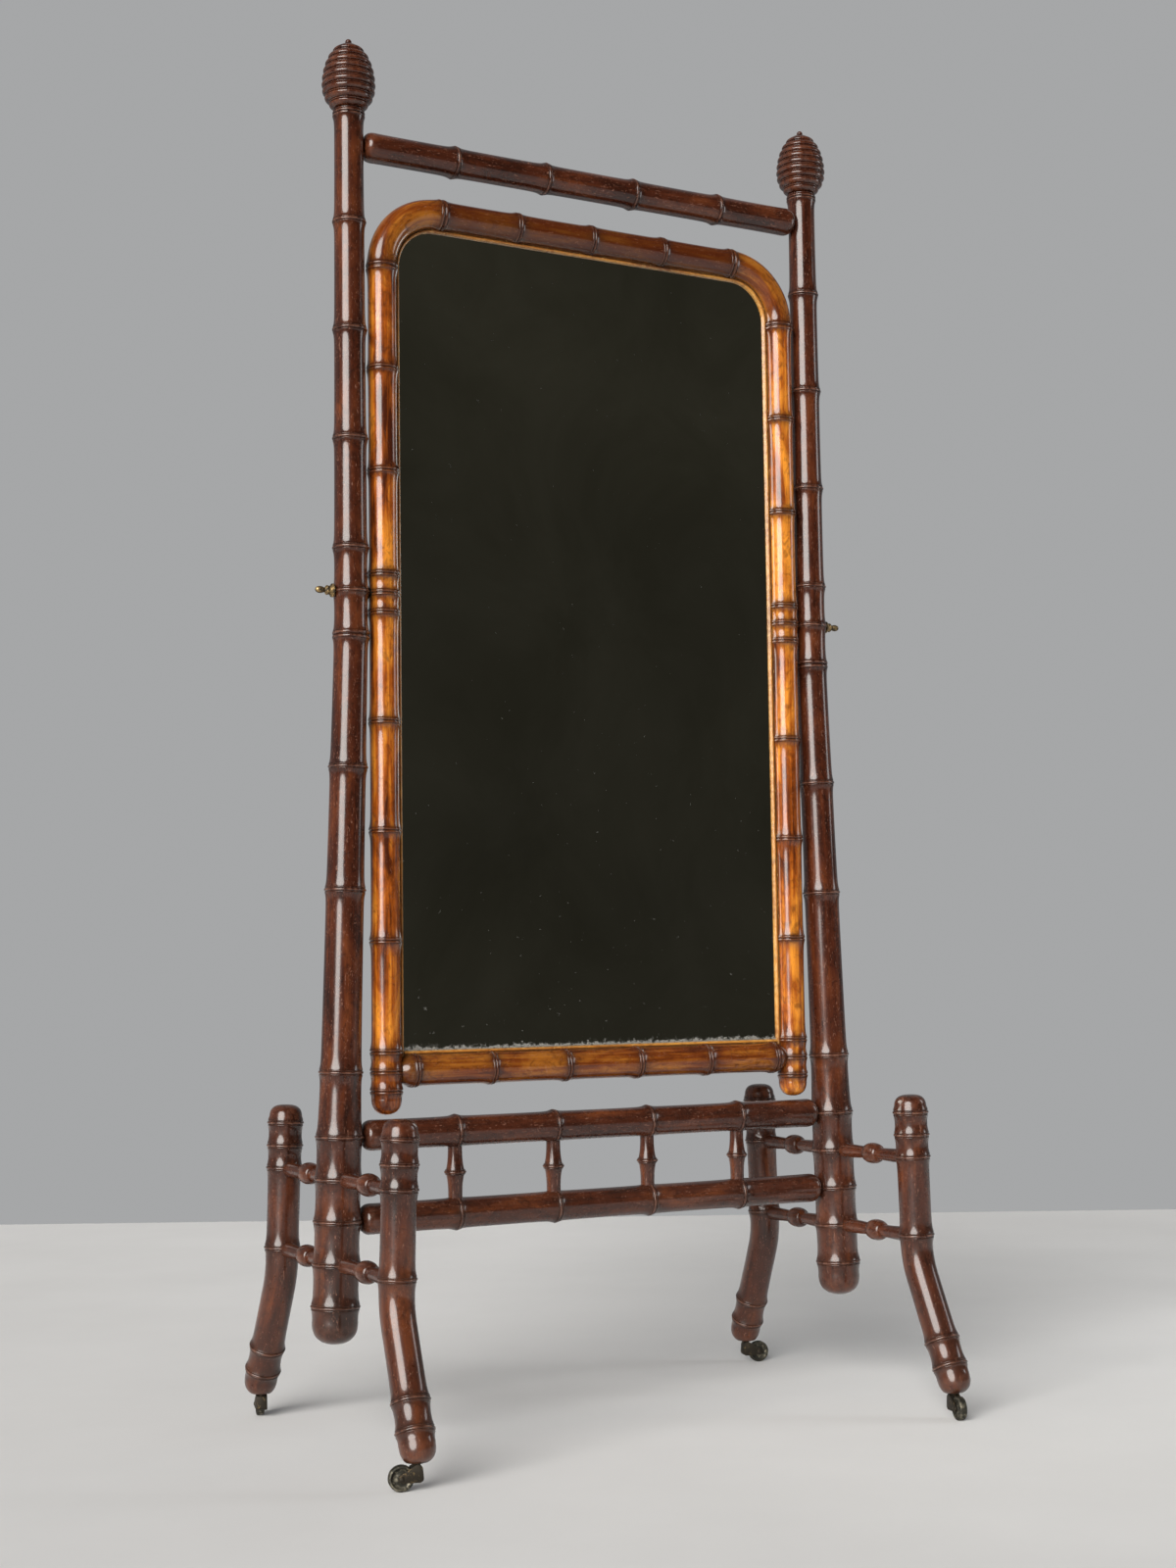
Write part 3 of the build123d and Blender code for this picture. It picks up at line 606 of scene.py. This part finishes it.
def make_rails():
    half = half_post_spacing - radius_at(upper_post_stations, top_rail_height) - shoulder_gap
    outline = rail_outline(half, top_rail_rings)
    turning("rail_top", [(outline, level(top_rail_height))], "stand", stand_wood,
            ["top_rail"], seed=7)
    stretchers = {"lower_stretcher": base_rings[2], "upper_stretcher": base_rings[4]}
    for number, (name, height) in enumerate(stretchers.items()):
        place = on_side(1) @ Vector((0, 0, height))
        outline = rail_outline(place.x - leg_seat(height) - shoulder_gap, stretcher_rings)
        turning(f"rail_{name}", [(outline, level(place.z))], "stand", stand_wood,
                [name], seed=8 + number)


def baluster_outline(low, high):
    """A spindle that flares towards the bead at its middle."""
    middle = (low + high) / 2
    points = []
    for i in range(13):
        height = low + (middle - 3.5 - low) * i / 12
        points.append((baluster_radius + baluster_flare * (i / 12) ** 3, height, 0.0, (i / 12) ** 6))
    points += ring(baluster_bead_radius, middle, baluster_bead)
    for i in range(13):
        height = high + (middle + 3.5 - high) * (12 - i) / 12
        radius = baluster_radius + baluster_flare * ((12 - i) / 12) ** 3
        points.append((radius, height, 0.0, ((12 - i) / 12) ** 6))
    return points


def make_balusters():
    low = post_axis_height(base_rings[2]) + rail_radius - 1
    high = post_axis_height(base_rings[4]) - rail_radius + 1
    outlines = [(baluster_outline(low, high), upright(place)) for place in stretcher_rings]
    turning("balusters", outlines, "stand", stand_wood, ["stretcher_balusters"],
            segments=48, seed=11)


def spindle_taper(share):
    """A spindle's radius and nearness to its end, from the end at 0 to the ball at 1."""
    return spindle_radius + 1.2 * (1 - share) ** 2 - 0.8 * share**3, 0.6 * (1 - share) ** 2


def spindle_outline(near, far):
    """A spindle that thins from its ends towards the ball at its middle."""
    middle = (near + far) / 2
    half_ball = spindle_ball_length / 2
    points = []
    for i in range(15):
        share = i / 14
        radius, nearness = spindle_taper(share)
        points.append((radius, near + (middle - half_ball - near) * share, 0.0, nearness))
    for i in range(1, 20):
        angle = math.pi * i / 20
        radius = 8.2 + (spindle_ball_radius - 8.2) * math.sin(angle) ** 0.9
        # The ball's crest is lighter, partly as rubbed wear and partly as a painted highlight.
        points.append((radius, middle - half_ball * math.cos(angle), 0.5 * math.sin(angle) ** 8, 0.3))
    for i in range(15):
        share = 1 - i / 14
        radius, nearness = spindle_taper(share)
        points.append((radius, far + (middle + half_ball - far) * share, 0.0, nearness))
    return points


def make_leg_spindles():
    for number, (side_name, side) in enumerate(sides.items()):
        outlines = []
        for height in (base_rings[1], base_rings[3]):
            near, far = leg_seat(height) - 4, leg_offset - leg_radius + 2
            for end in ends.values():
                place = moved(0, 0, height) @ turned(-90 * end, "X")
                outlines.append((spindle_outline(near, far), splayed(side, place)))
        turning(f"spindles_{side_name}", outlines, "stand", stand_wood,
                [f"leg_spindles_{side_name}"], segments=48, seed=12 + number)


leg_tilt = math.atan2(foot_offset - leg_offset, leg_bend_height - foot_height)
leg_setback = leg_bend_radius * math.tan(leg_tilt / 2)
bend_start = leg_bend_height + leg_setback
bend_length = leg_bend_radius * leg_tilt
foot_length = math.hypot(foot_offset - leg_offset, leg_bend_height - foot_height) - leg_setback


def leg_spine(side, end):
    """The centre line of a leg. Places above zero are on the upright, and below it come bend and foot."""
    base = on_side(side) @ turned(0 if end > 0 else 180, "Z") @ moved(0, leg_offset, bend_start)

    def spine(place):
        if place >= 0:
            return base @ moved(0, 0, place)
        angle = min(-place / leg_bend_radius, leg_tilt)
        arc = moved(0, leg_bend_radius * (1 - math.cos(angle)), -leg_bend_radius * math.sin(angle))
        rest = min(0.0, place + bend_length)
        return base @ arc @ turned(math.degrees(angle), "X") @ moved(0, 0, rest)

    return spine


def flat_under(point):
    """Cuts a foot flat above its castor."""
    return Vector((point.x, point.y, max(point.z, foot_flat_height)))


def make_legs():
    rings = [height - bend_start for height in leg_rings]
    rings += [height - foot_length - bend_length for height in foot_rings]
    stations = [(leg_radius, -foot_length - bend_length), (leg_radius, leg_top - leg_dome[0] - bend_start)]
    outline = turning_outline(stations, singles(rings), foot_dome, leg_dome)
    number = 14
    for side_name, side in sides.items():
        for end_name, end in ends.items():
            name = f"leg_{end_name}_{side_name}"
            turning(f"bent_{name}", [(outline, leg_spine(side, end))], "stand", stand_wood,
                    [name], trim=flat_under, seed=number)
            number += 1


# The mirror's frame


def inwards(point):
    """How far a point lies inwards of the frame's axis, and the direction inwards there."""
    across = half_stile_spacing - abs(point.x)
    below = frame_top_height - point.z
    above = point.z - frame_bottom_height
    outwards = 1 if point.x > 0 else -1
    if across < corner_radius and below < corner_radius:
        x, z = corner_radius - across, corner_radius - below
        distance = math.hypot(x, z)
        return corner_radius - distance, Vector((-outwards * x, 0, -z)) / max(distance, 0.001)
    least = min(across, below, above)
    if least == across:
        return across, Vector((-outwards, 0, 0))
    return least, Vector((0, 0, -1 if least == below else 1))


def rebated(point):
    """Moves a point of a frame rod out of the rebate that holds the glass and the board."""
    inset, direction = inwards(point)
    if inset <= rebate_inset or point.y <= rebate_front:
        return point
    if inset - rebate_inset < point.y - rebate_front:
        return point - direction * (inset - rebate_inset)
    return Vector((point.x, rebate_front, point.z))


def make_stiles():
    corner_joint = frame_top_height - corner_reach
    pivot_rings = [pivot_height + stile_ring_pitch * i for i in (-1, 0, 1)]
    foot = [frame_bottom_height + foot_ring_pitch * i for i in (-1, 0, 1)]
    rings = foot + evenly(foot[-1], pivot_rings[0], 4) + pivot_rings
    rings += evenly(pivot_rings[-1], corner_joint, 3)
    beads = [(height, double_ring) for height in rings] + [(corner_joint - joint_ring_offset, joint_ring)]
    stations = [(rod_radius, foot[0] - stile_end_drop), (rod_radius, corner_joint)]
    outline = turning_outline(stations, beads, dome_below=stile_dome)
    for number, (side_name, side) in enumerate(sides.items()):
        spine = upright(side * half_stile_spacing)
        turning(f"rod_stile_{side_name}", [(outline, spine)], "mirror", frame_wood,
                [f"stile_{side_name}"], trim=rebated, seed=20 + number)


def corner_spine(side):
    """The centre line of a frame corner, from its joint with the stile to that with the top rail."""
    quarter = corner_radius * math.pi / 2
    straight = corner_reach - corner_radius
    base = moved(side * half_stile_spacing, 0, frame_top_height - corner_reach)

    def spine(place):
        along = min(place, straight)
        angle = min(max((place - straight) / corner_radius, 0), math.pi / 2)
        arc = moved(-side * corner_radius * (1 - math.cos(angle)), 0, corner_radius * math.sin(angle))
        rest = max(0.0, place - straight - quarter)
        return base @ moved(0, 0, along) @ arc @ turned(-side * math.degrees(angle), "Y") @ moved(0, 0, rest)

    return spine


def make_corners():
    length = 2 * (corner_reach - corner_radius) + corner_radius * math.pi / 2
    stations = [(rod_radius, 0.0), (rod_radius, length)]
    beads = [(joint_ring_offset, joint_ring), (length - joint_ring_offset, joint_ring)]
    outline = turning_outline(stations, beads)
    outlines = [(outline, corner_spine(side)) for side in sides.values()]
    # The corners are darkened, partly as darker wood and partly as painted shade.
    turning("rod_corners", outlines, "mirror", frame_wood, ["frame_corners"],
            trim=rebated, seed=23, deep=0.55)


def make_frame_rails():
    half = half_stile_spacing - corner_reach
    beads = [(place, double_ring) for place in evenly(-half, half, 4)]
    beads += [(-half + joint_ring_offset, joint_ring), (half - joint_ring_offset, joint_ring)]
    outline = turning_outline([(rod_radius, -half), (rod_radius, half)], beads)
    # The top rail is darkened most, partly as darker wood and partly as painted shade.
    turning("rod_top", [(outline, level(frame_top_height))], "mirror", frame_wood,
            ["frame_top_rail"], trim=rebated, seed=25, deep=0.9)
    span = half_stile_spacing - bottom_rail_inset
    beads = [(place, double_ring) for place in [-span] + evenly(-span, span, 5) + [span]]
    full = span + 6
    outline = turning_outline([(bottom_rod_radius, -full), (bottom_rod_radius, full)], beads)
    neck = half_stile_spacing - rod_radius + 2
    cup = []
    for i in range(9):
        share = i / 8
        radius = bottom_rod_radius - neck_taper * share**1.6
        cup.append((radius, full + (neck - full) * share, 0.0, 0.7))
    outline = [(r, -h, w, n) for r, h, w, n in reversed(cup)] + outline + cup
    # The bottom rail is darkened, partly as darker wood and partly as painted shade.
    turning("rod_bottom", [(outline, level(frame_bottom_height))], "mirror", frame_wood,
            ["frame_bottom_rail"], trim=rebated, seed=26, deep=0.6)


def slip_section():
    """The slip moulding's section, as (inset, depth): a flat seat, a fine groove and a round edge."""
    groove = rod_radius + 1.4
    points = [(slip_outer, 3.0), (slip_outer, slip_front), (groove - 0.8, slip_front)]
    points += [(groove - 0.4, slip_front + 1.2), (groove + 0.4, slip_front + 1.2)]
    for i in range(9):
        angle = math.pi / 2 * i / 8
        points.append((slip_inner - 3.2 * (1 - math.sin(angle)), slip_front + 3 * (1 - math.cos(angle))))
    return points + [(slip_inner, 3.0)]


def slip(name, path, replaced, seed):
    """A stretch of slip moulding along a path of (point of the frame's axis, direction inwards, length)."""
    section = slip_section()
    vertices, faces, grain, wear, near = [], [], [], [], []
    for point, direction, length in path:
        for inset, depth in section:
            vertices.append((point + direction * inset + Vector((0, depth, 0))) * MM)
            grain += [inset * MM + seed, depth * MM, length * MM]
            # The rounded inner edge is lighter, partly as wear and partly as a painted highlight. The seat
            # and fine groove beside the rod are darker: painted shade where the rod shades them.
            wear.append(0.5 if inset > slip_inner - 1.5 else -1.0 if inset < rod_radius + 2 else 0.0)
            near.append(0.0)
    width = len(section)
    for row in range(len(path) - 1):
        for i in range(width):
            this, following = row * width + i, row * width + (i + 1) % width
            faces.append((this, following, following + width, this + width))
    faces.append(list(reversed(range(width))))
    faces.append([(len(path) - 1) * width + i for i in range(width)])
    values = [("grain", "FLOAT_VECTOR", grain), ("wear", "FLOAT", wear), ("near", "FLOAT", near)]
    finish_mesh(name, vertices, faces, values, "mirror", slip_wood, replaced)


def make_slips():
    joint = frame_top_height - corner_reach
    low = frame_bottom_height + slip_outer
    for side_name, side in sides.items():
        foot = Vector((side * half_stile_spacing, 0, low))
        head = Vector((side * half_stile_spacing, 0, joint))
        path = [(foot, Vector((-side, 0, 0)), 0.0), (head, Vector((-side, 0, 0)), joint - low)]
        slip(f"moulding_{side_name}", path, [f"slip_{side_name}"], 1.3 + side)
    path = [(Vector((-half_stile_spacing, 0, joint)), Vector((1, 0, 0)), 0.0)]
    centre_x, centre_z = half_stile_spacing - corner_radius, frame_top_height - corner_radius
    for side in (-1, 1):
        for i in range(17):
            angle = math.pi / 2 * (i if side < 0 else 16 - i) / 16
            out = Vector((side * math.cos(angle), 0, math.sin(angle)))
            point = Vector((side * centre_x, 0, centre_z)) + out * corner_radius
            path.append((point, -out, 100.0 + 8 * i + 700 * (side > 0)))
    path.append((Vector((half_stile_spacing, 0, joint)), Vector((-1, 0, 0)), 940.0))
    slip("moulding_top", path, ["slip_top"], 4.1)
    reach = half_stile_spacing - slip_inner
    path = [(Vector((x, 0, frame_bottom_height)), Vector((0, 0, 1)), x) for x in (-reach, reach)]
    slip("moulding_bottom", path, ["slip_bottom"], 5.7)


# Brass


def smooth_stations(stations, steps=6):
    """A smooth outline through (radius, height) stations, with its wear and painted light value at zero."""
    points = []
    padded = [stations[0]] + stations + [stations[-1]]
    for before, start, end, after in zip(padded, padded[1:], padded[2:], padded[3:]):
        for i in range(steps):
            t = i / steps
            point = []
            for a, b, c, d in zip(before, start, end, after):
                value = b + 0.5 * t * (c - a + t * (2 * a - 5 * b + 4 * c - d + t * (3 * (b - c) + d - a)))
                point.append(value)
            points.append((*point, 0.0, 0.0))
    return points + [(*stations[-1], 0.0, 0.0)]


def make_knobs():
    """Each pivot screw with its turned knob."""
    crest = radius_at(upper_post_stations, pivot_height) + bead_proud
    seat = half_post_spacing + crest + moving_gap
    tip = half_stile_spacing + rod_radius - screw_depth
    for side_name, side in sides.items():
        shaft = [(4.0, tip - seat, 0, 0), (4.0, 0, 0, 0)]
        flange = [(8.6, 0, 0, 0), (9.0, 0.4, 0, 0), (9.0, 2.1, 0, 0), (8.6, 2.5, 0, 0)]
        body = [(7.0, 3.0), (5.7, 6.5), (6.4, 8.5), (6.2, 9.6), (4.2, 11.0), (3.2, 13.0), (4.1, 15.2)]
        body += [(4.6, 18.0), (4.4, 20.6), (3.4, 23.2), (1.8, 24.6), (0.05, 25.0)]
        outline = [(point[0], point[1], 1.0, 0.0) for point in shaft + flange + smooth_stations(body)]
        base = moved(side * seat, 0, pivot_height) @ turned(90 * side, "Y")
        turning(f"knob_{side_name}", [(outline, along(base))], f"pivot_screw_{side_name}",
                dark_brass, [f"pivot_screw_{side_name}"], segments=48)


def castor_place(side, end, corner):
    dome_centre = on_side(side) @ Vector((0, end * foot_offset, foot_height))
    return moved(dome_centre.x, dome_centre.y, 0) @ turned(castor_directions[corner], "Z")


def wheel_outline():
    """A wheel with a crowned tread, dished faces and a hub."""
    half = wheel_width / 2
    face = [(2.05, half - 0.4), (4.2, half - 0.4), (4.8, half - 1.4), (8.0, half - 2.6), (11.6, half - 1.6)]
    face += [(12.6, half), (14.2, half), (15.1, half - 0.9), (15.45, half - 2.2)]
    points = [(radius, -height, 0.0, 0.0) for radius, height in face]
    points += [(wheel_radius, 0.0, 0.0, 0.0)]
    return points + [(radius, height, 0.0, 0.0) for radius, height in reversed(face)]


def axle_outline():
    """An axle with a low round head at each end."""
    end = 7.4
    head = [(3.1, end), (2.9, end + 0.3), (1.8, end + 0.9), (0.05, end + 1.2)]
    near = [(radius, -height, 0, 0) for radius, height in reversed(head)]
    far = [(radius, height, 0, 0) for radius, height in head]
    return near + [(2, 0.1 - end, 0, 0), (2, end - 0.1, 0, 0)] + far


def softened(node, name, body, material, width):
    """A piece of a node's own shape with eased edges."""
    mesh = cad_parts[node].data.copy()
    mesh.name = name
    shape = bmesh.new()
    shape.from_mesh(mesh)
    bmesh.ops.remove_doubles(shape, verts=shape.verts, dist=1e-6)
    bmesh.ops.dissolve_limit(shape, angle_limit=math.radians(1), verts=shape.verts, edges=shape.edges)
    shape.to_mesh(mesh)
    shape.free()
    mesh.materials.clear()
    mesh.materials.append(material)
    for polygon in mesh.polygons:
        polygon.use_smooth = True
    piece = bpy.data.objects.new(name, mesh)
    bpy.context.scene.collection.objects.link(piece)
    bevel = piece.modifiers.new("eased", "BEVEL")
    bevel.width = width * MM
    bevel.segments = 2
    bevel.limit_method = "ANGLE"
    bevel.angle_limit = math.radians(35)
    bevel.harden_normals = True
    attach(piece, body)
    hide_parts(node)
    return piece


def make_castors():
    for side_name, side in sides.items():
        for end_name, end in ends.items():
            corner = f"{end_name}_{side_name}"
            place = castor_place(side, end, corner)
            hub = place @ moved(castor_trail, 0, wheel_radius) @ turned(90, "X")
            spine = along(hub)
            turning(f"wheel_{corner}", [(wheel_outline(), spine)], f"castor_wheel_{corner}",
                    wheel_brass, [f"castor_wheel_{corner}"], segments=48)
            turning(f"pin_{corner}", [(axle_outline(), spine)], f"castor_horn_{corner}",
                    dark_brass, [f"castor_axle_{corner}"], segments=24)
            softened(f"castor_horn_{corner}", f"horn_{corner}", f"castor_horn_{corner}",
                     dark_brass, 0.7)


def dress_nodes():
    """Materials for the nodes that keep their own shape."""
    finishes = {
        "glass": silver,
        "back_board": board_wood,
        "pivot_bushes": dark_brass,
        "castor_sockets": dark_brass,
    }
    for node, material in finishes.items():
        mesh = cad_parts[node].data
        mesh.materials.clear()
        mesh.materials.append(material)


# Floor, light and camera

backdrop_tone = (0.38, 0.385, 0.39)
room_tone = (0.044, 0.041, 0.029)
camera_place = (-1.51134, -2.69546, 0.60594)
camera_yaw = math.radians(-29.080)
camera_pitch = math.radians(4.6866)
camera_roll = math.radians(-0.7533)
focal_pixels = 2288.04
picture_height = 1600
sensor_size = 36.0
floor_half_width = 40.0
floor_front = -4.3
floor_back = 2.45


def make_floor(view_yaw):
    """A plain pale floor that ends behind the object."""
    mesh = bpy.data.meshes.new("floor")
    corners = [
        (-floor_half_width, floor_front),
        (floor_half_width, floor_front),
        (floor_half_width, floor_back),
        (-floor_half_width, floor_back),
    ]
    turn = Matrix.Rotation(view_yaw, 3, "Z")
    mesh.from_pydata([turn @ Vector((x, y, 0)) for x, y in corners], [], [(0, 1, 2, 3)])
    floor = bpy.data.objects.new("floor", mesh)
    bpy.context.scene.collection.objects.link(floor)
    material, tree, shader = new_material("floor")
    place = add(tree, "ShaderNodeTexCoord").outputs["Object"]
    clouds = stretched_noise(tree, place, (1.3, 1.3, 1.3), 5, 0.55)
    colour = ramp(tree, clouds, [(0.3, (0.75, 0.75, 0.745)), (0.7, (0.82, 0.82, 0.815))])
    tree.links.new(colour, shader.inputs["Base Color"])
    shader.inputs["Roughness"].default_value = 0.85
    shader.inputs["Specular IOR Level"].default_value = 0.1
    mesh.materials.append(material)


def area_light(name, place, target, size, energy, colour):
    data = bpy.data.lights.new(name, "AREA")
    data.shape = "ELLIPSE"
    data.size, data.size_y = size
    data.energy = energy
    data.color = colour
    light = bpy.data.objects.new(name, data)
    light.location = place
    light.rotation_euler = (Vector(target) - Vector(place)).to_track_quat("-Z", "Y").to_euler()
    bpy.context.scene.collection.objects.link(light)


def sun_light(name, direction, strength, width, colour):
    """A distant light of a given angular width, shining along a direction."""
    data = bpy.data.lights.new(name, "SUN")
    data.energy = strength
    data.angle = math.radians(width)
    data.color = colour
    light = bpy.data.objects.new(name, data)
    light.rotation_euler = Vector(direction).to_track_quat("-Z", "Y").to_euler()
    bpy.context.scene.collection.objects.link(light)


def make_light():
    """A broad soft light from the left, a weak one from the right, and a dim room."""
    sun_light("key", (2.8, 2.0, -1.3), 5.0, 44, (1.0, 0.97, 0.93))
    area_light("fill", (2.8, -1.2, 1.7), (0, 0, 0.8), (0.8, 1.6), 12, (0.96, 0.98, 1.0))
    world = bpy.data.worlds.new("studio")
    world.use_nodes = True
    tree = world.node_tree
    tree.nodes.clear()
    output = tree.nodes.new("ShaderNodeOutputWorld")
    seen = add(tree, "ShaderNodeBackground", Color=(*backdrop_tone, 1), Strength=1.0)
    lit = add(tree, "ShaderNodeBackground", Color=(0.62, 0.63, 0.65, 1), Strength=0.30)
    view = add(tree, "ShaderNodeTexCoord").outputs["Generated"]
    depth = add(tree, "ShaderNodeSeparateXYZ", Vector=view).outputs["Y"]
    clouds = stretched_noise(tree, view, (2.5, 2.5, 4.0), 3, 0.5)
    place = add(tree, "ShaderNodeMapRange", Value=depth, From_Min=-1.0, From_Max=1.0)
    room = ramp(tree, place.outputs[0], [(0.0, room_tone), (0.35, room_tone), (0.6, backdrop_tone)])
    room = blended(tree, arithmetic(tree, "MULTIPLY", clouds, 0.9), room, grey(0.004))
    mirrored = add(tree, "ShaderNodeBackground", Color=room, Strength=1.0)
    path = tree.nodes.new("ShaderNodeLightPath")
    for_glossy = tree.nodes.new("ShaderNodeMixShader")
    tree.links.new(path.outputs["Is Glossy Ray"], for_glossy.inputs[0])
    tree.links.new(lit.outputs[0], for_glossy.inputs[1])
    tree.links.new(mirrored.outputs[0], for_glossy.inputs[2])
    for_camera = tree.nodes.new("ShaderNodeMixShader")
    tree.links.new(path.outputs["Is Camera Ray"], for_camera.inputs[0])
    tree.links.new(for_glossy.outputs[0], for_camera.inputs[1])
    tree.links.new(seen.outputs[0], for_camera.inputs[2])
    tree.links.new(for_camera.outputs[0], output.inputs["Surface"])
    bpy.context.scene.world = world
    bpy.context.scene.view_settings.view_transform = "Standard"


def make_camera():
    data = bpy.data.cameras.new("camera")
    data.sensor_width = sensor_size
    data.lens = focal_pixels / picture_height * sensor_size
    camera = bpy.data.objects.new("camera", data)
    turn = Matrix.Rotation(camera_yaw, 4, "Z") @ Matrix.Rotation(math.pi / 2 + camera_pitch, 4, "X")
    turn = turn @ Matrix.Rotation(camera_roll, 4, "Z")
    camera.matrix_world = Matrix.Translation(camera_place) @ turn
    bpy.context.scene.collection.objects.link(camera)
    bpy.context.scene.camera = camera


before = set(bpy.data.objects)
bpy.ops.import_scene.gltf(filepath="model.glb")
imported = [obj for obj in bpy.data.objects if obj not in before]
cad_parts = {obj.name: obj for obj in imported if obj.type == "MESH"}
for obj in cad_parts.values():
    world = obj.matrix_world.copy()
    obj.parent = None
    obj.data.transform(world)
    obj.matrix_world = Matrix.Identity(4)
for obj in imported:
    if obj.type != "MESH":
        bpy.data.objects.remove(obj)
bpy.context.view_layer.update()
make_posts()
make_finials()
make_rails()
make_balusters()
make_leg_spindles()
make_legs()
make_stiles()
make_corners()
make_frame_rails()
make_slips()
make_knobs()
make_castors()
dress_nodes()
make_floor(camera_yaw)
make_light()
make_camera()
